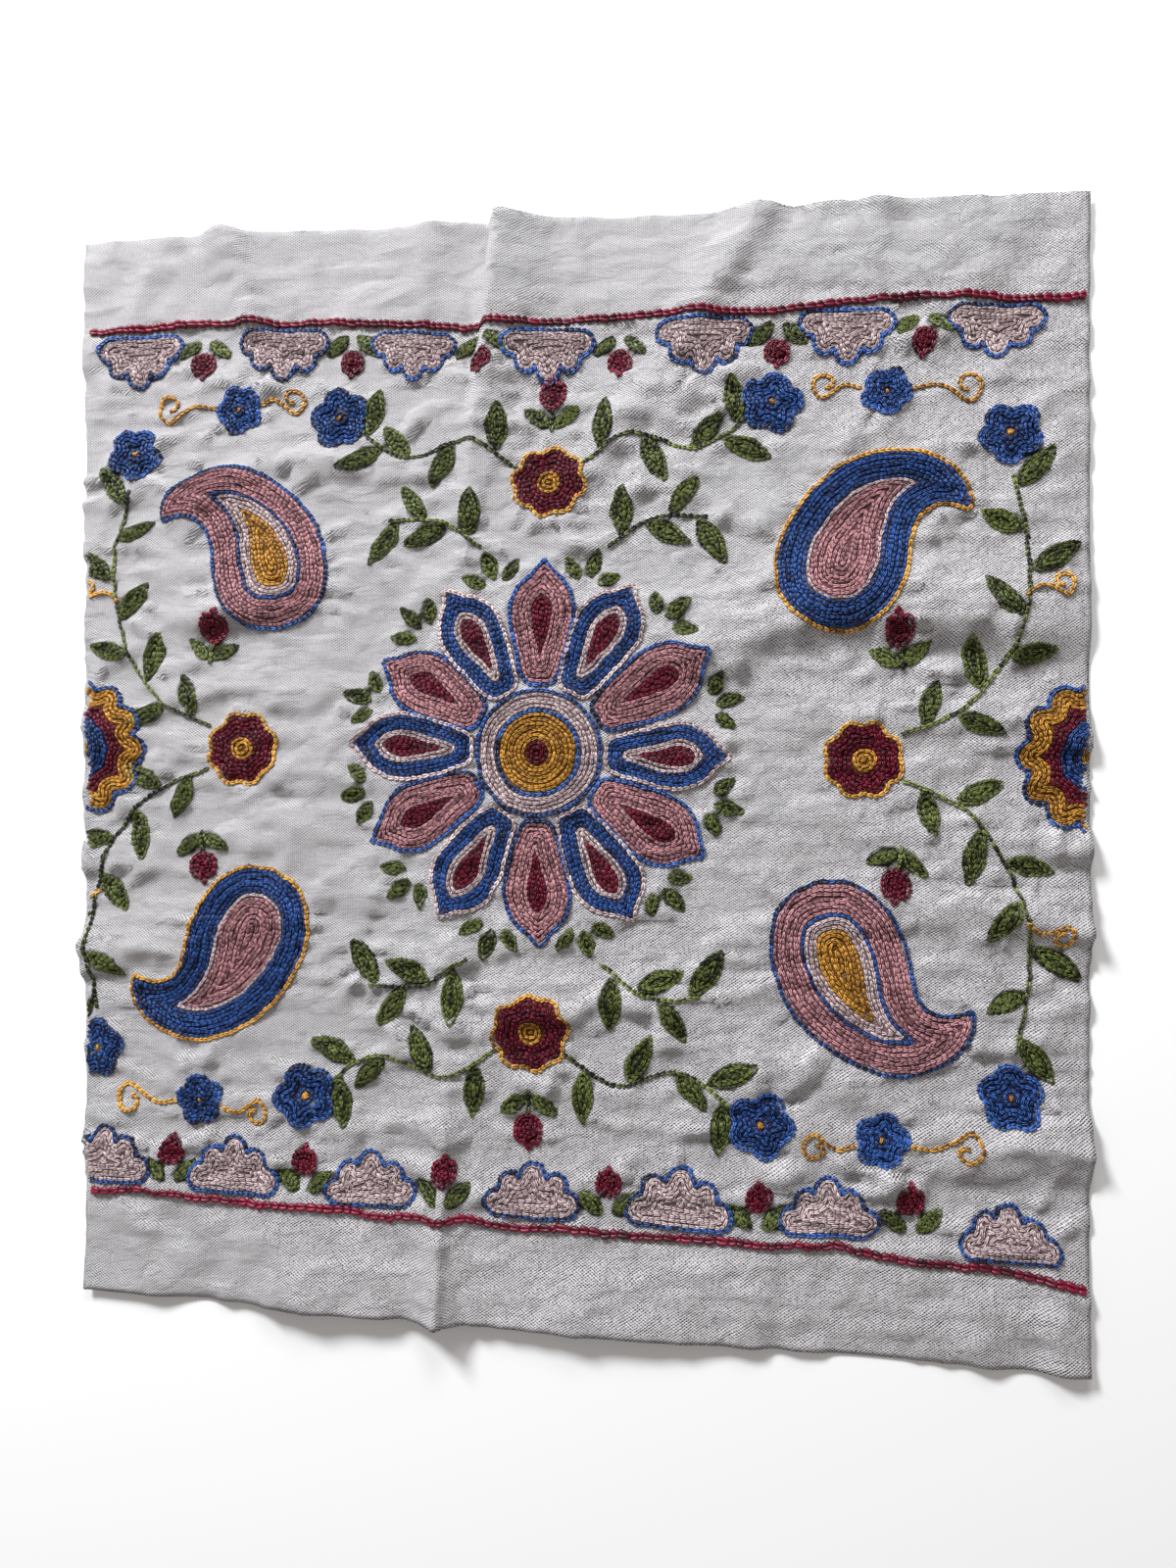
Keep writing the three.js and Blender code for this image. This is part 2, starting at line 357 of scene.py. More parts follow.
def filled(outline, bands, edge="line", kind="fill", row_step=ROW_STEP, grid=0.55):
    """Rows of chain stitch that fill an outline from its edge inwards. Each band is a thread and a number
    of rows, the last one as many as there is room for. Where edge names a kind of chain, the first band
    is one such chain on the outline itself."""
    low = outline.min(0) - 2
    high = outline.max(0) + 2
    x, y = np.meshgrid(np.arange(low[0], high[0], grid), np.arange(low[1], high[1], grid), indexing="ij")
    depth = depth_inside(outline, x, y)
    made = []
    first = row_step / 2
    if edge:
        made.append((bands[0][0], edge, outline, True))
        bands = bands[1:]
        first = 0.8 + row_step / 2
    room = depth.max() - first + row_step / 2
    count = max(math.ceil(room / row_step - 0.3), 1)
    step = room / count
    threads = [thread for thread, number in bands for _ in range(number)]
    for k in range(count):
        thread = threads[min(k, len(threads) - 1)]
        for line in contours(depth, x, y, first + k * step):
            made.append((thread, kind, line, True))
    return made


def rounds(inner, outer, thread, kind="fill"):
    """Circular rows between two radii"""
    count = max(int(round((outer - inner) / ROW_STEP)), 1)
    step = (outer - inner) / count
    a = np.linspace(0, 2 * math.pi, 60, endpoint=False)
    circle = np.stack([np.sin(a), np.cos(a)], 1)
    return [(thread, kind, circle * (inner + (k + 0.5) * step), True) for k in range(count)]


def add(made, at, turn=0.0, scale=1.0, flip=(1, 1)):
    """Puts a motif's rows on the cloth"""
    for thread, kind, points, closed in made:
        rows.append((thread, kind, placed(points, at, turn, scale, flip), closed))
    edges.append(hand_drawn(placed(made[0][2], at, turn, scale, flip)))


# Motifs, each made once about its own origin
def make_motifs():
    petal = mirrored([(0, 0), (0, 0), (6.0, 1.0), (10.4, 14), (13.4, 29), (10.6, 39), (4.6, 45), (0, 51),
                      (0, 51)])
    leaf = mirrored([(0, 0), (0, 0), (3.0, 4.5), (4.5, 10), (3.4, 16), (0, 23), (0, 23)], 6)
    small_leaf = mirrored([(0, 0), (0, 0), (2.6, 4), (3.2, 8), (0, 15), (0, 15)], 6)
    palmette = mirrored([(0, 0), (0, 0), (17, 0), (17, 0), (21, 5), (18, 11), (14.5, 11), (14.5, 11),
                         (14, 17), (8, 19.5), (6, 16.5), (6, 16.5), (4, 22), (0, 24)], 6)
    bud = mirrored([(0, 0), (0, 0), (4.4, 3), (4.8, 8), (3, 11), (3, 11), (2, 9), (0, 14), (0, 14)], 6)
    drop = paisley(98, 50, -0.42, 2.7)
    star = lobed(30, 12, 0.16)
    return {
        "petal": filled(petal, [("blue", 1), ("pink", 6), ("crimson", 9)]),
        "blue petal": filled(petal, [("pale", 1), ("blue", 4), ("pale", 2), ("crimson", 9)]),
        "leaf": filled(leaf, [("green", 9)], None, "leaf", LEAF_ROW_STEP),
        "small leaf": filled(small_leaf, [("green", 9)], None, "leaf", LEAF_ROW_STEP),
        "palmette": filled(palmette, [("blue", 1), ("pale", 20)]),
        "bud": filled(bud, [("crimson", 1), ("crimson", 9)], row_step=LEAF_ROW_STEP),
        "pink drop": filled(drop, [("blue", 1), ("pink", 7), ("blue", 1), ("pale", 3), ("gold", 9)]),
        "blue drop": filled(drop, [("gold", 1), ("blue", 7), ("pale", 1), ("pink", 9)]),
        "rosette": filled(lobed(15.5, 8, 0.18), [("gold", 1), ("crimson", 5), ("gold", 9)]),
        "flower": filled(lobed(12.5, 5, 0.3), [("blue", 1), ("blue", 4), ("gold", 9)]),
        "star": filled(star, [("blue", 1), ("gold", 4), ("crimson", 3), ("blue", 5), ("gold", 20)]),
    }


def lay_out():
    """Places the motifs: a round medallion, a paisley and vines in each quarter, palmettes along the lines"""
    m = make_motifs()
    for k in range(12):
        turn = 30 * k + 1.5 * math.sin(5.0 * k)
        kind = "blue petal" if k % 2 else "petal"
        add(m[kind], radial(27.5, turn), turn, 1 + 0.02 * math.sin(3.7 * k))
        add(m["small leaf"], radial(72, turn + 15), turn + 15, 1.05 + 0.08 * math.sin(2.3 * k))
        for side in (-1, 1):
            add(m["small leaf"], radial(71, turn + 15 + side * 2.5), turn + 15 + side * 48, 0.9)
    add(rounds(0, 5, "crimson"), (0, 0))
    add(rounds(5, 16, "gold"), (0, 0))
    add(rounds(16, 17.9, "blue", "line"), (0, 0))
    add(rounds(18, 24.2, "pale"), (0, 0))
    add(rounds(24.3, 26.2, "blue", "line"), (0, 0))
    for sx in (-1, 1):
        for sy in (-1, 1):
            quarter = (sx, sy)
            pink = sx == -sy
            add(m["pink drop" if pink else "blue drop"], (111, 50), 38, 1.0, quarter)
            sprig(m, [(13, 119), (34, 131), (58, 124), (72, 129), (80, 136)], quarter, 5)
            add(m["flower"], (91, 142), 12, 1.0, quarter)
            sprig(m, [(142, 9), (166, 20), (183, 44), (190, 78), (184, 112)], quarter, 8)
            add(m["flower"], (183, 128), 40, 0.95, quarter)
            add(m["flower"], (136, 146), 25, 0.8, quarter)
            sprig(m, [(26, 84), (44, 96), (66, 96)], quarter, 4)
            bud_on_stem(m, (143, 35), -8, quarter)
            tendril(quarter, (146, 147), (167, 148), 6.5)
            tendril(quarter, (126, 148), (112, 150), -6)
            tendril(quarter, (187, 62), (201, 67), 5)
        add(m["rosette"], (0, 112), 10, 1.0, (1, sx))
        bud_on_stem(m, (0, 134), 0, (1, sx))
        add(m["rosette"], (127, -1), 20, 1.0, (sx, 1))
    add(m["star"], (-201, -2))
    add(m["star"], (214, 1))
    for k in range(-3, 4):
        for line, side in ((HEAD_LINE, -1), (FOOT_LINE, 1)):
            x = 60 * k + 3 * math.sin(2.1 * k + side)
            base = float(line_at(line, x)) + side * 3.6
            scale = 0.92 + 0.05 * math.sin(1.7 * k)
            add(m["palmette"], (x, base * side), 2 * math.sin(3 * k), scale, (1, side))
            if k < 3:
                middle = x + 30
                add(m["bud"], (middle, (base + side * 9) * side), 0, 0.9, (1, side))
                for lean in (-1, 1):
                    at = (middle + 1.5 * lean, (base + side * 2) * side)
                    add(m["leaf"], at, 46 * lean, 0.62, (1, side))


def bud_on_stem(m, at, heading, quarter):
    """A bud on a short stem with a leaf to each side"""
    top = np.array(at) + radial(9, heading)
    rows.append(("green", "line", placed(np.array([at, top]), (0, 0), flip=quarter), False))
    add(m["bud"], top, heading, 1.05, quarter)
    for side in (-1, 1):
        add(m["leaf"], np.array(at) + radial(1.5, heading), heading + side * 55, 0.66, quarter)


def tendril(quarter, start, end, curl):
    """A gold chain that leaves its stem at start and winds up in a small spiral at end"""
    turns = np.linspace(0, 1, 36)[:, None]
    angle = 7.0 * turns
    away = np.subtract(start, end) / np.hypot(*np.subtract(start, end))
    side = np.array([-away[1], away[0]]) * np.sign(curl)
    spiral = np.array(end) + abs(curl) * (1 - 0.8 * turns) * (np.cos(angle) * side - np.sin(angle) * away)
    bowed = (np.array(start) + spiral[0]) / 2 - 4 * side
    path = spline(np.vstack([[start, bowed], spiral[::3]]), False, 4)
    rows.append(("gold", "line", placed(path, (0, 0), flip=quarter), False))


def radial(radius, turn):
    a = math.radians(turn)
    return (radius * math.sin(a), radius * math.cos(a))


def sprig(m, points, quarter, leaves):
    """A stem of one chain with leaves to one side and the other in turn"""
    stem = spline(points, False, 10)
    rows.append(("green", "line", placed(stem, (0, 0), flip=quarter), False))
    heading = np.degrees(np.arctan2(*np.gradient(stem, axis=0).T))
    for k in range(leaves):
        i = int((k + 0.6) / leaves * (len(stem) - 1))
        side = 1 if k % 2 else -1
        scale = 0.98 + 0.1 * math.sin(2.2 * k + points[0][0])
        add(m["leaf"], stem[i], heading[i] + side * 52, scale, quarter)


# The two border lines
def line_at(line, x):
    return np.interp(x, *zip(*line)) + 0.35 * np.sin(np.asarray(x) / 9.0)


def border_lines():
    for line in (HEAD_LINE, FOOT_LINE):
        left, right = cut_at(np.array([line[0][1], line[-1][1]]))
        x = np.linspace(left[0] + 2.2, right[1] - 2.2, 200)
        rows.append(("crimson", "border", np.stack([x, line_at(line, x)], 1), False))


# Chain nodes
def hand_drawn(points):
    """The small unevenness of a design drawn and stitched by hand"""
    x, y = points[:, 0], points[:, 1]
    for reach, cell, seed in HAND_DRIFTS:
        points = points + reach * drift(x, y, cell, seed)
    return points


def straying(points, number):
    """How far a row of filling strays from its neighbours"""
    return 0.32 * drift(points[:, 0] + 31 * number, points[:, 1], 6, 15)


def chain_nodes(points, closed, pitch, rng):
    """Unevenly spaced needle holes along a row, or None where there is no room for a stitch"""
    points = np.roll(points, rng.integers(len(points)), 0) if closed else points
    path = np.vstack([points, points[:1]]) if closed else points
    pitch = pitch * rng.uniform(0.92, 1.08)
    run = np.concatenate([[0], np.cumsum(np.hypot(*np.diff(path, axis=0).T))])
    count = int(round(run[-1] / pitch))
    if count < 1:
        return None
    if closed and count < 3:
        middle = path.mean(0)
        far = path[np.argmax(np.hypot(*(path - middle).T))]
        return np.array([far, 2 * middle - far])
    at = np.concatenate([[0], np.cumsum(rng.uniform(0.7, 1.3, count))])
    at *= run[-1] / at[-1]
    nodes = np.stack([np.interp(at, run, path[:, 0]), np.interp(at, run, path[:, 1])], 1)
    nodes[1:-1] += rng.normal(0, 0.075 * pitch, (count - 1, 2))
    return nodes


def cut_at(y):
    up = y / WIDTH + 0.5
    left = CUT_LEFT[0] + (CUT_LEFT[1] - CUT_LEFT[0]) * up
    right = CUT_RIGHT[0] + (CUT_RIGHT[1] - CUT_RIGHT[0]) * up
    return left, right


def all_links():
    """Every link of every chain: thread, kind, start, end, and how far along its dye lot the thread is"""
    rng = np.random.default_rng(11)
    links = {}
    for number, (thread, kind, points, closed) in enumerate(rows):
        pitch = CHAINS[kind][0]
        points = hand_drawn(points)
        if kind in ("fill", "leaf"):
            points = points + straying(points, number)
        nodes = chain_nodes(points, closed, pitch, rng)
        if nodes is None:
            continue
        if number % 2:
            nodes = nodes[::-1]
        left, right = cut_at(nodes[:, 1])
        on = (nodes[:, 0] > left + STITCH_CLEARANCE) & (nodes[:, 0] < right - STITCH_CLEARANCE)
        keep = on[:-1] & on[1:]
        start, end = nodes[:-1][keep], nodes[1:][keep]
        dye = number * 7.3 + np.arange(len(keep))[keep] * pitch / 26
        links.setdefault((thread, kind), []).append(np.column_stack([start, end, dye]))
    return {key: np.vstack(parts) for key, parts in links.items()}


# The cloth's own surface
def blurred(image, sigma):
    """Gaussian blur of a raster, with sigma in cells"""
    reach = int(3 * sigma)
    weights = np.exp(-0.5 * (np.arange(-reach, reach + 1) / sigma) ** 2)
    weights /= weights.sum()
    for axis in (0, 1):
        image = np.apply_along_axis(np.convolve, axis, image, weights, "same")
    return image


def column_fractions():
    """Ways along the length at which the cloth's columns stand, closer together about the middle crease"""
    length = CUT_RIGHT[1] - CUT_LEFT[1]
    low, high = CREASE_FRACTIONS
    before = np.linspace(0, low, int(low * length / GRID_STEP), endpoint=False)
    within = np.linspace(low, high, int((high - low) * length / CREASE_STEP), endpoint=False)
    after = np.linspace(high, 1, int((1 - high) * length / GRID_STEP) + 1)
    return np.concatenate([before, within, after])


class Surface:
    """Heights of the cloth's middle over the plan, on the same grid as the cloth's mesh"""

    def __init__(self, links):
        self.fractions = column_fractions()
        self.lines = int(WIDTH / GRID_STEP)
        v = np.linspace(-WIDTH / 2, WIDTH / 2, self.lines + 1)
        left, right = cut_at(v)
        self.y = np.repeat(v[None], len(self.fractions), 0)
        self.x = left + (right - left) * self.fractions[:, None]
        self.cover(links)
        self.height = self.heights()

    def cover(self, links):
        """Rasters of 1 mm: how thickly the cloth is stitched, from 0 to 1, and the dye of the thread there,
        mostly its dark end as painted shade
        """
        side = np.arange(-RASTER_HALF, RASTER_HALF + 1)
        spread = np.zeros((2 * RASTER_HALF, 2 * RASTER_HALF))
        thread_colour_and_shade = np.zeros((2 * RASTER_HALF, 2 * RASTER_HALF, 3))
        for (thread, _), part in links.items():
            spots = (part[:, 0:2] + part[:, 2:4]) / 2
            raster = blurred(np.histogram2d(spots[:, 0], spots[:, 1], bins=(side, side))[0], 1.6)
            spread += raster
            light, dark = (np.array(linear(dye)[:3]) for dye in THREADS[thread])
            thread_colour_and_shade += raster[..., None] * (SHADED_DYE_UNDER_STITCHES * dark + (1 - SHADED_DYE_UNDER_STITCHES) * light)
        self.dense = np.clip(spread * 4.2, 0, 1)
        self.dye = thread_colour_and_shade / np.maximum(spread, 1e-6)[..., None]
        self.around = np.clip(blurred(self.dense, 7.0) * 2.6, 0, 1)

    def raster_at(self, raster, x, y):
        i = np.clip((x + RASTER_HALF).astype(int), 0, 2 * RASTER_HALF - 1)
        j = np.clip((y + RASTER_HALF).astype(int), 0, 2 * RASTER_HALF - 1)
        return raster[i, j]

    def heights(self):
        x, y = self.x, self.y
        rise = fold_sum(FOLDS, x, y)
        lifted = np.maximum(rise - 0.25 * CONTACT_SOFTNESS, 0)
        solid = lifted**2 / (lifted + CONTACT_SOFTNESS)
        dense = self.raster_at(blurred(self.dense, 1.5), x, y)
        around = self.raster_at(self.around, x, y)
        # 1 between the border lines, down to 0.3 in the margins
        inside = np.clip((line_at(HEAD_LINE, x) + 4 - y) / 12, 0.3, 1)
        inside = inside * np.clip((y + 4 - line_at(FOOT_LINE, x)) / 12, 0.3, 1)
        wrinkle = fold_sum(CREASES, x, y) + fold_sum(SHARP_CREASES, x, y, True)
        margin = (1 - inside) * np.where(y > 0, 1.0, 1.5)
        near_stitches = 0.35 + 0.65 * around * inside
        for where, noise, height, cell_x, cell_y, seed in (
                (1, ripple, 0.5, 52, 34, 3), (near_stitches, crumple, 1.5, 16, 7.0, 6),
                (margin, ripple, 1.1, 17, 26, 13), (margin, crumple, 0.7, 24, 20, 14),
                (inside, ripple, 1.1, 36, 12, 4), (inside, crumple, 0.9, 26, 10, 5)):
            wrinkle += where * height * noise(x, y, cell_x, cell_y, seed)
        wrinkle += inside * self.tension() * (1 - dense)
        fine = wrinkle * (1 - 0.5 * dense) + 1.0 + 0.45 * dense
        # Never below nought, so that the cloth doesn't sink into the surface
        soft = np.sqrt(fine**2 + 0.25) / 2 + fine / 2
        return BACK_STITCH_ROOM + CLOTH_THICKNESS / 2 + solid + soft

    def lean(self):
        """How far the head crease's crest leans to the left, less than nought in the tuck under it"""
        f = dict(zip(FOLD_COLUMNS, SHARP_CREASES["edge of the head crease"]))
        crest = np.interp(self.y, (f["y0"], f["y1"]), (f["x0"], f["x1"]))
        near = np.exp(-(((self.x - crest + 3) / 6) ** 2))
        near = near * np.clip((self.y - HEAD_LINE[5][1] - 8) / 22, 0, 1)
        up = np.clip((self.height - self.at(crest - 8, self.y)) / 4, 0, 1)
        return near * (CREST_LEAN * up - FOOT_TUCK * (1 - up))

    def tension(self):
        """Puckers that radiate from the edge of each motif, where its stitches draw in the cloth"""
        total = np.zeros_like(self.x)
        for number, edge in enumerate(edges):
            low = edge.min(0) - PUCKER_BOX
            high = edge.max(0) + PUCKER_BOX
            near = (self.x > low[0]) & (self.x < high[0]) & (self.y > low[1]) & (self.y < high[1])
            if not near.any():
                continue
            run = np.concatenate([[0], np.cumsum(np.hypot(*np.diff(edge, axis=0).T))])
            p = np.stack([self.x[near], self.y[near]], 1)
            distance = np.hypot(p[:, None, 0] - edge[None, :, 0], p[:, None, 1] - edge[None, :, 1])
            nearest = distance.argmin(1)
            away = distance[np.arange(len(p)), nearest]
            along = run[nearest]
            wave = 1 - 3 * np.abs(ripple(along, np.full_like(along, 3.3 * number), PUCKER_WIDTH, 1.0, 8))
            total[near] += PUCKER_HEIGHT * wave * np.exp(-((away / PUCKER_REACH) ** 1.5))
        return total

    def at(self, x, y):
        """Height of the cloth's middle at any plan point, from the four grid points round it"""
        left, right = cut_at(y)
        u = np.interp((x - left) / (right - left), self.fractions, np.arange(len(self.fractions)))
        u = np.clip(u, 0, len(self.fractions) - 1 - 1e-6)
        v = np.clip((y / WIDTH + 0.5) * self.lines, 0, self.lines - 1e-6)
        i, j = u.astype(int), v.astype(int)
        fu, fv = u - i, v - j
        h = self.height
        low = h[i, j] * (1 - fu) + h[i + 1, j] * fu
        high = h[i, j + 1] * (1 - fu) + h[i + 1, j + 1] * fu
        return low * (1 - fv) + high * fv


def mesh_object(name, vertices, faces, smooth=True):
    """A mesh from vertices in millimetres and an array of faces"""
    mesh = bpy.data.meshes.new(name)
    faces = np.asarray(faces)
    count, sides = faces.shape
    mesh.vertices.add(len(vertices))
    mesh.vertices.foreach_set("co", (np.asarray(vertices) * MM).astype(np.float32).ravel())
    mesh.loops.add(count * sides)
    mesh.loops.foreach_set("vertex_index", faces.astype(np.int32).ravel())
    mesh.polygons.add(count)
    mesh.polygons.foreach_set("loop_start", np.arange(0, count * sides, sides, dtype=np.int32))
    mesh.polygons.foreach_set("use_smooth", np.full(count, smooth))
    mesh.update(calc_edges=True)
    mesh.validate()
    piece = bpy.data.objects.new(name, mesh)
    bpy.context.scene.collection.objects.link(piece)
    return piece


def attribute(piece, name, values, kind="FLOAT", field="value"):
    """A value for each vertex"""
    made = piece.data.attributes.new(name, kind, "POINT")
    made.data.foreach_set(field, np.asarray(values, np.float32).ravel())


def make_cloth(surface):
    """The cloth: upper and lower faces on one grid, joined by a wall all round"""
    across, up = surface.x.shape
    middle = np.stack([surface.x, surface.y, surface.height], 2)
    half = np.full((across, up, 1), CLOTH_THICKNESS / 2)
    half[[0, -1]] = EDGE_THICKNESS / 2
    half[:, [0, -1]] = EDGE_THICKNESS / 2
    upper = middle + half * (0, 0, 1)
    lower = middle - half * (0, 0, 1)
    upper[..., 0] -= surface.lean()
    lower[..., 0] -= surface.lean()
    index = np.arange(across * up).reshape(across, up)
    quad = np.stack([index[:-1, :-1], index[1:, :-1], index[1:, 1:], index[:-1, 1:]], 2).reshape(-1, 4)
    under = index + across * up
    faces = [quad, quad[:, ::-1] + across * up]
    broad = 2 * len(quad)
    for top, bottom in ((index[:, 0], under[:, 0]), (index[::-1, -1], under[::-1, -1]),
                        (index[-1], under[-1]), (index[0, ::-1], under[0, ::-1])):
        faces.append(np.stack([bottom[:-1], bottom[1:], top[1:], top[:-1]], 1))
    vertices = np.vstack([upper.reshape(-1, 3), lower.reshape(-1, 3)])
    faces = np.vstack(faces)
    cloth = mesh_object("cloth_sheet", vertices, faces, np.arange(len(faces)) < broad)
    bed = surface.raster_at(surface.dense, surface.x, surface.y).ravel()
    attribute(cloth, "stitched", np.concatenate([bed, bed]))
    # The cloth's colour between stitches: the threads' colour, mostly their dark end, as painted shade
    dye = surface.raster_at(surface.dye, surface.x, surface.y).reshape(-1, 3)
    dye = np.column_stack([np.vstack([dye, dye]), np.ones(2 * len(dye))])
    attribute(cloth, "dye", dye, "FLOAT_COLOR", "color")
    return cloth


# Stations along each of a link's two legs: way along the link, spread from its middle, height, girth
FILL_LEG = [(-0.10, 0.0, 0.2, 0), (0.20, 0.5, 1.05, 0.92), (0.92, 1.0, 0.65, 1.0), (1.22, 0.85, -0.7, 0)]
LEG = {
    "fill": FILL_LEG,
    "leaf": FILL_LEG,
    "line": [(-0.10, 0.0, 0.2, 0), (0.16, 0.45, 1.05, 0.9), (0.5, 0.9, 0.95, 1), (0.92, 1.05, 0.65, 1),
             (1.18, 0.8, -0.6, 0)],
    "border": [(-0.08, 0.1, 0.2, 0), (0.08, 0.4, 0.9, 0.85), (0.3, 0.8, 1.0, 1), (0.62, 1.03, 0.9, 1.05),
               (0.88, 0.95, 0.7, 1), (1.04, 0.65, 0.3, 0.8), (1.16, 0.3, -0.2, 0)],
}
LEG_SIDES = {"fill": 3, "leaf": 3, "line": 4, "border": 6}
SIDE_TURN = {3: math.pi / 2, 4: math.pi / 4, 6: math.pi / 6}
# A stitch on the back: the section at its middle, across and up, in its radius
BACK_SECTION = [(0.0, 1.0), (-1.7, -0.5), (1.7, -0.5)]
BACK_RADIUS = 0.2
BACK_OVERRUN = 0.06               # past each of its two holes, in its length


def leg_faces(stations, sides):
    """Triangles of one leg: a tip, rings of points, and a tip"""
    faces = []
    rings = stations - 2
    last = 1 + rings * sides

    def ring(k, s):
        return 1 + k * sides + s % sides

    for s in range(sides):
        faces.append((0, ring(0, s + 1), ring(0, s)))
        faces.append((last, ring(rings - 1, s), ring(rings - 1, s + 1)))
        for k in range(rings - 1):
            faces.append((ring(k, s), ring(k, s + 1), ring(k + 1, s + 1)))
            faces.append((ring(k, s), ring(k + 1, s + 1), ring(k + 1, s)))
    return np.array(faces)


def spans(links):
    """Each link's start, the way from there to its end, and a step of 1 mm to its left"""
    start = links[:, 0:2]
    along = links[:, 2:4] - start
    length = np.maximum(np.hypot(*along.T), 1e-6)[:, None]
    return start, along, np.stack([-along[:, 1], along[:, 0]], 1) / length


def chain_mesh(links, kind, surface, rng):
    """Vertices, faces and shade of all the links of one kind in one thread"""
    _, spread, radius = CHAINS[kind]
    start, along, across = spans(links)
    dye = links[:, 4]
    count = len(links)
    wide = rng.uniform(0.9, 1.1, (count, 1))
    twist = rng.uniform(-0.3, 0.3, (count, 1))
    stations = LEG[kind]
    sides = LEG_SIDES[kind]
    shade = MIDDLE_SHADE[kind] + 0.3 * ripple(dye, np.zeros(count), 1.0, 1.0, 9) + rng.normal(0, 0.12, count)
    vertices, shades = [], []
    turns = SIDE_TURN[sides] + 2 * math.pi * np.arange(sides) / sides
    section = list(zip(np.cos(turns), np.sin(turns)))
    for leg in (-1, 1):
        leg_spread = spread * wide * (1 + twist * leg)
        leg_shade = shade + rng.normal(0, 0.17, count)
        for a, s, h, g in stations:
            for c, z in section if g else [(0.0, -0.6)]:
                middle = start + along * a + across * leg * (leg_spread * s + c * radius * g)
                vertices.append((middle, radius * (h + 0.85 * z * g) + 0.02))
                # Painted shade: each leg's flanks, underside and two tips get a darker mix of the dye
                shades.append(leg_shade + PAINTED_DEPTH_SHADE * (z - 0.7))
    plan = np.stack([p for p, _ in vertices], 1)
    lift = np.array([h for _, h in vertices])
    base = surface.at(plan[..., 0], plan[..., 1]) + CLOTH_THICKNESS / 2
    points = np.concatenate([plan, (base + lift)[..., None]], 2)
    one = leg_faces(len(stations), sides)
    per_leg = 2 + (len(stations) - 2) * sides
    both = np.vstack([one, one[:, ::-1] + per_leg])
    faces = (both[None] + np.arange(count)[:, None, None] * 2 * per_leg).reshape(-1, 3)
    return points.reshape(-1, 3), faces, np.stack(shades, 1).ravel()


def joined(parts):
    """Several vertex, face and value arrays as one"""
    vertices, faces, values, offset = [], [], [], 0
    for v, f, s in parts:
        vertices.append(v)
        faces.append(f + offset)
        values.append(s)
        offset += len(v)
    return np.vstack(vertices), np.vstack(faces), np.concatenate(values)


def make_stitches(links, surface):
    """One piece for each thread"""
    rng = np.random.default_rng(23)
    pieces = []
    for thread in THREADS:
        parts = [chain_mesh(part, kind, surface, rng)
                 for (t, kind), part in sorted(links.items()) if t == thread]
        vertices, faces, shade = joined(parts)
        mean, variation = SHADES.get(thread, (CROWN_SHADE, 1))
        shade = mean + (shade - CROWN_SHADE) * variation
        piece = mesh_object("stitches_" + thread, vertices, faces)
        attribute(piece, "shade", np.clip(shade, 0, 1))
        piece.data.materials.append(thread_material(thread))
        pieces.append(piece)
    return pieces


def make_back(links, surface):
    """The short straight stitches that the chains leave on the back, one piece for each thread"""
    rng = np.random.default_rng(29)
    pieces = []
    for thread in THREADS:
        part = np.vstack([p for (t, _), p in sorted(links.items()) if t == thread])
        start, along, across = spans(part)
        tips = [start - along * BACK_OVERRUN, start + along * (1 + BACK_OVERRUN)]
        ring = [start + along * 0.5 + across * BACK_RADIUS * c for c, _ in BACK_SECTION]
        plan = np.stack([tips[0], *ring, tips[1]], 1)
        lift = np.array([0.0] + [BACK_RADIUS * z - 0.02 for _, z in BACK_SECTION] + [0.0])
        base = surface.at(plan[..., 0], plan[..., 1]) - CLOTH_THICKNESS / 2 - BACK_RADIUS
        points = np.concatenate([plan, (base + lift)[..., None]], 2)
        per_stitch = len(BACK_SECTION) + 2
        one = leg_faces(3, len(BACK_SECTION))
        faces = (one[None] + np.arange(len(part))[:, None, None] * per_stitch).reshape(-1, 3)
        piece = mesh_object("back_" + thread, points.reshape(-1, 3), faces)
        shade = np.clip(rng.normal(0.45, 0.18, len(part)), 0, 1)
        attribute(piece, "shade", np.repeat(shade, per_stitch))
        piece.data.materials.append(thread_material(thread))
        pieces.append(piece)
    return pieces


# Materials
def linear(rgb):
    """Scene-linear colour from sRGB in 0 to 255"""
    c = np.array(rgb) / 255
    return tuple(np.where(c <= 0.04045, c / 12.92, ((c + 0.055) / 1.055) ** 2.4)) + (1.0,)


def new_material(name):
    material = bpy.data.materials.get(name)
    if material:
        return material, None, None
    material = bpy.data.materials.new(name)
    material.use_nodes = True
    return material, material.node_tree.nodes, material.node_tree.links


def node(nodes, kind, **settings):
    made = nodes.new(kind)
    for key, value in settings.items():
        if key in made.inputs:
            made.inputs[key].default_value = value
        else:
            setattr(made, key, value)
    return made


def thread_material(thread):
    """Silky floss: two shades of one dye, mixed by a shade that also carries painted shade, and a soft sheen
    """
    material, nodes, links = new_material("thread_" + thread)
    if nodes is None:
        return material
    light, dark = THREADS[thread]
    shader = nodes["Principled BSDF"]
    shader.inputs["Roughness"].default_value = 0.42
    shader.inputs["Specular IOR Level"].default_value = 0.45
    shade = node(nodes, "ShaderNodeAttribute", attribute_name="shade")
    colour = blend(nodes, links, shade.outputs["Fac"], linear(dark), linear(light))
    links.new(colour, shader.inputs["Base Color"])
    return material


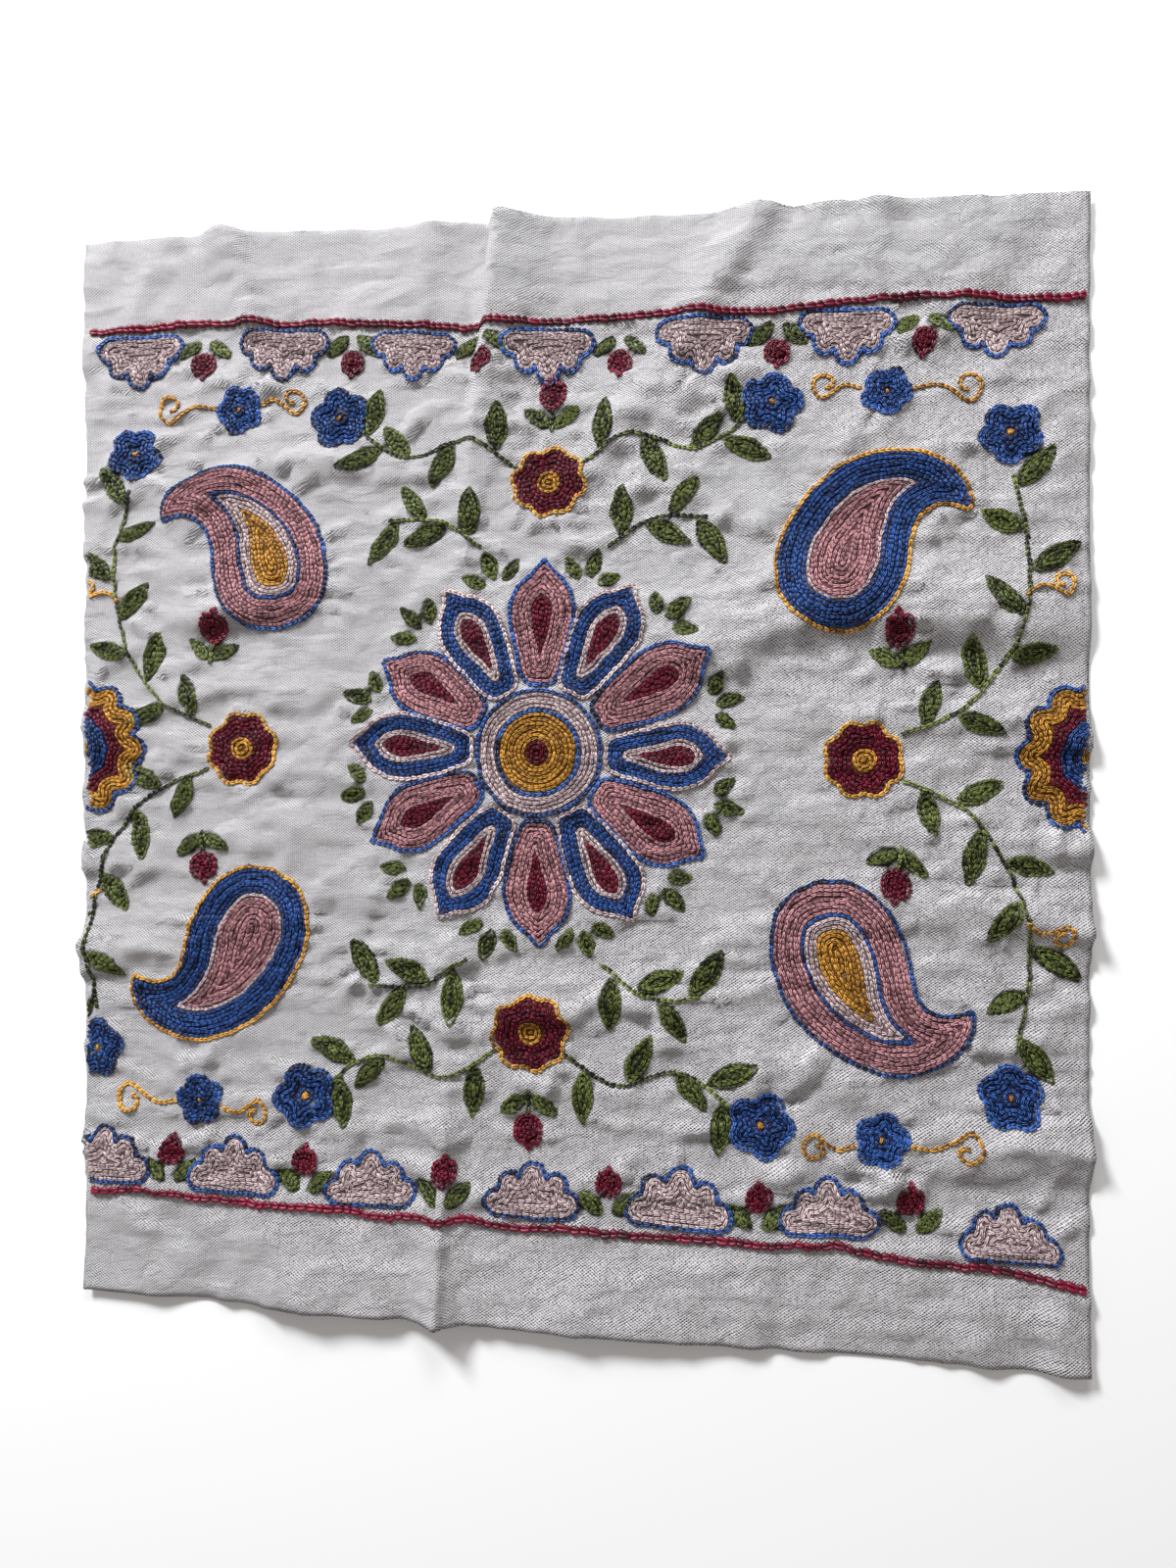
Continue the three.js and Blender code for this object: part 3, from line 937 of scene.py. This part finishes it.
def cotton_material():
    """Off-white plain weave with painted shade in its gaps and under the stitches, with slubs and with
    crumples too fine for the mesh
    """
    material, nodes, links = new_material("off-white cotton")
    shader = nodes["Principled BSDF"]
    shader.inputs["Roughness"].default_value = 0.85
    shader.inputs["Specular IOR Level"].default_value = 0.25
    place = node(nodes, "ShaderNodeTexCoord")
    warp = node(nodes, "ShaderNodeTexNoise", Scale=90.0, Detail=2.0)
    links.new(place.outputs["Object"], warp.inputs["Vector"])
    shift = node(nodes, "ShaderNodeVectorMath", operation="MULTIPLY_ADD")
    shift.inputs[1].default_value = (0.0012, 0.0012, 0.0)
    links.new(warp.outputs["Color"], shift.inputs[0])
    links.new(place.outputs["Object"], shift.inputs[2])
    over = crossing(nodes, links, shift, 2)
    gaps = crossing(nodes, links, shift, 1)
    # The weave's relief, also painted into the colour as shade: darker in the gaps and where a thread lies
    # under
    weave_relief_and_shade = maths(nodes, links, "MULTIPLY_ADD", over, 1.1, gaps)
    slub = stretched_noise(nodes, links, place, (330, 1500, 330), 2.0)
    slub_up = stretched_noise(nodes, links, place, (1300, 300, 300), 2.0)
    grain = stretched_noise(nodes, links, place, (1000, 1300, 1000), 1.0)
    tone = maths(nodes, links, "MULTIPLY_ADD", slub_up, 0.3, maths(nodes, links, "MULTIPLY", slub, 0.3))
    tone = maths(nodes, links, "MULTIPLY_ADD", weave_relief_and_shade, 0.62, tone)
    tone = maths(nodes, links, "MULTIPLY_ADD", grain, 0.5, tone)
    light = map_range(nodes, links, tone, 0.0, 1.4)
    colour = blend(nodes, links, light, linear((146, 142, 143)), linear((238, 235, 238)))
    # Towards the stitches the cloth takes the threads' colour, mostly their dark end: painted shade between
    # stitches
    bed = node(nodes, "ShaderNodeAttribute", attribute_name="stitched")
    dye = node(nodes, "ShaderNodeAttribute", attribute_name="dye")
    under = map_range(nodes, links, bed.outputs["Fac"], 0.6, 0.95)
    shaded = blend(nodes, links, under, colour, dye.outputs["Color"])
    links.new(shaded, shader.inputs["Base Color"])
    broad = stretched_noise(nodes, links, place, (85, 150, 85), 3.0)
    small = stretched_noise(nodes, links, place, (240, 330, 240), 2.0)
    creased = stretched_noise(nodes, links, place, (48, 95, 48), 1.0, "RIDGED_MULTIFRACTAL")
    crumples = node(nodes, "ShaderNodeBump", Strength=1.0, Distance=0.0046)
    pressed = maths(nodes, links, "MULTIPLY_ADD", creased, 0.6, broad)
    links.new(maths(nodes, links, "MULTIPLY_ADD", small, 0.5, pressed), crumples.inputs["Height"])
    bump = node(nodes, "ShaderNodeBump", Strength=1.0, Distance=0.0003)
    links.new(maths(nodes, links, "MULTIPLY_ADD", grain, 0.4, weave_relief_and_shade), bump.inputs["Height"])
    links.new(crumples.outputs["Normal"], bump.inputs["Normal"])
    links.new(bump.outputs["Normal"], shader.inputs["Normal"])
    return material


def put(links, value, socket):
    """Links an output to a socket, or sets the socket to a constant"""
    if isinstance(value, bpy.types.NodeSocket):
        links.new(value, socket)
    else:
        socket.default_value = value


def maths(nodes, links, operation, *values):
    """The output of a maths node on outputs or numbers"""
    made = node(nodes, "ShaderNodeMath", operation=operation)
    for socket, value in zip(made.inputs, values):
        put(links, value, socket)
    return made.outputs[0]


def map_range(nodes, links, value, low, high):
    """0 where the value is low, 1 where it is high"""
    made = node(nodes, "ShaderNodeMapRange", **{"From Min": low, "From Max": high})
    links.new(value, made.inputs["Value"])
    return made.outputs[0]


def blend(nodes, links, factor, one, other):
    """One colour where the factor is 0, the other where it is 1"""
    made = node(nodes, "ShaderNodeMix", data_type="RGBA")
    for index, value in ((0, factor), (6, one), (7, other)):
        put(links, value, made.inputs[index])
    return made.outputs[2]


def crossing(nodes, links, place, threads):
    """Product of two waves over the warp and the weft: with one thread to a wave it shows the gaps between
    threads, with two it shows which thread lies on top"""
    waves = []
    for direction, pitch in WEAVE_PITCH:
        wave = node(nodes, "ShaderNodeTexWave", wave_type="BANDS", bands_direction=direction,
                    Scale=math.pi / 10 / (threads * pitch * MM), Distortion=0.0)
        links.new(place.outputs[0], wave.inputs["Vector"])
        waves.append(maths(nodes, links, "MULTIPLY_ADD", wave.outputs["Fac"], 2, -1) if threads > 1
                     else wave.outputs["Fac"])
    return maths(nodes, links, "MULTIPLY", *waves)


def stretched_noise(nodes, links, place, scale, detail, kind="FBM"):
    mapping = node(nodes, "ShaderNodeMapping", Scale=scale)
    links.new(place.outputs["Object"], mapping.inputs["Vector"])
    noise = node(nodes, "ShaderNodeTexNoise", noise_type=kind, Scale=1.0, Detail=detail)
    links.new(mapping.outputs[0], noise.inputs["Vector"])
    return noise.outputs["Fac"]


# Camera, light and floor
LENS = 23.0
SENSOR_WIDTH = 36
CAMERA_DISTANCE = 404.6           # along the line of sight to the cloth
AIM = (20.1, -12.6)               # plan point in the middle of the picture
ALONG_SEEN = (0.9920, -0.0190, 0.1251)   # the runner's length and breadth as the camera sees them
ACROSS_SEEN = (0.0279, 0.9972, -0.0700)


def make_camera():
    along = Vector(ALONG_SEEN).normalized()
    across = Vector(ACROSS_SEEN)
    across = (across - across.dot(along) * along).normalized()
    turn = Matrix((along, across, along.cross(across)))
    data = bpy.data.cameras.new("camera")
    data.lens = LENS
    data.sensor_width = SENSOR_WIDTH
    data.clip_start = 0.01
    camera = bpy.data.objects.new("camera", data)
    bpy.context.scene.collection.objects.link(camera)
    place = Vector((*AIM, 0)) + turn @ Vector((0, 0, CAMERA_DISTANCE))
    camera.matrix_world = Matrix.Translation(place * MM) @ turn.to_4x4()
    bpy.context.scene.camera = camera


def make_light(name, place, size, watts):
    """A round lamp at place, in metres, that faces the middle of the cloth"""
    data = bpy.data.lights.new(name, "AREA")
    data.shape = "DISK"
    data.size = size
    data.energy = watts
    data.color = (0.955, 0.98, 1.0)
    light = bpy.data.objects.new(name, data)
    light.location = place
    light.rotation_euler = (-Vector(place)).to_track_quat("-Z", "Y").to_euler()
    bpy.context.scene.collection.objects.link(light)


def make_stage():
    bpy.ops.mesh.primitive_plane_add(size=6)
    floor = bpy.context.active_object
    floor.name = "floor"
    material, nodes, _ = new_material("floor")
    shader = nodes["Principled BSDF"]
    shader.inputs["Base Color"].default_value = (0.93, 0.93, 0.93, 1)
    shader.inputs["Roughness"].default_value = 0.9
    shader.inputs["Specular IOR Level"].default_value = 0.1
    floor.data.materials.append(material)
    world = bpy.data.worlds.new("world")
    world.use_nodes = True
    background = world.node_tree.nodes["Background"]
    background.inputs["Color"].default_value = (1.0, 0.95, 0.925, 1)
    background.inputs["Strength"].default_value = 0.36
    bpy.context.scene.world = world
    make_light("window", (-0.85, 1.25, 0.95), 0.45, 46.5)
    make_light("beside the window", (0.10, 0.95, 0.60), 0.4, 5.4)
    bpy.context.scene.view_settings.view_transform = "Standard"


def main():
    make_camera()
    make_stage()
    border_lines()
    lay_out()
    links = all_links()
    surface = Surface(links)
    cloth = make_cloth(surface)
    cloth.data.materials.append(cotton_material())
    stitches = make_stitches(links, surface) + make_back(links, surface)
    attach(cloth, "root")
    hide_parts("cloth")
    for piece in stitches:
        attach(piece, "root")


main()
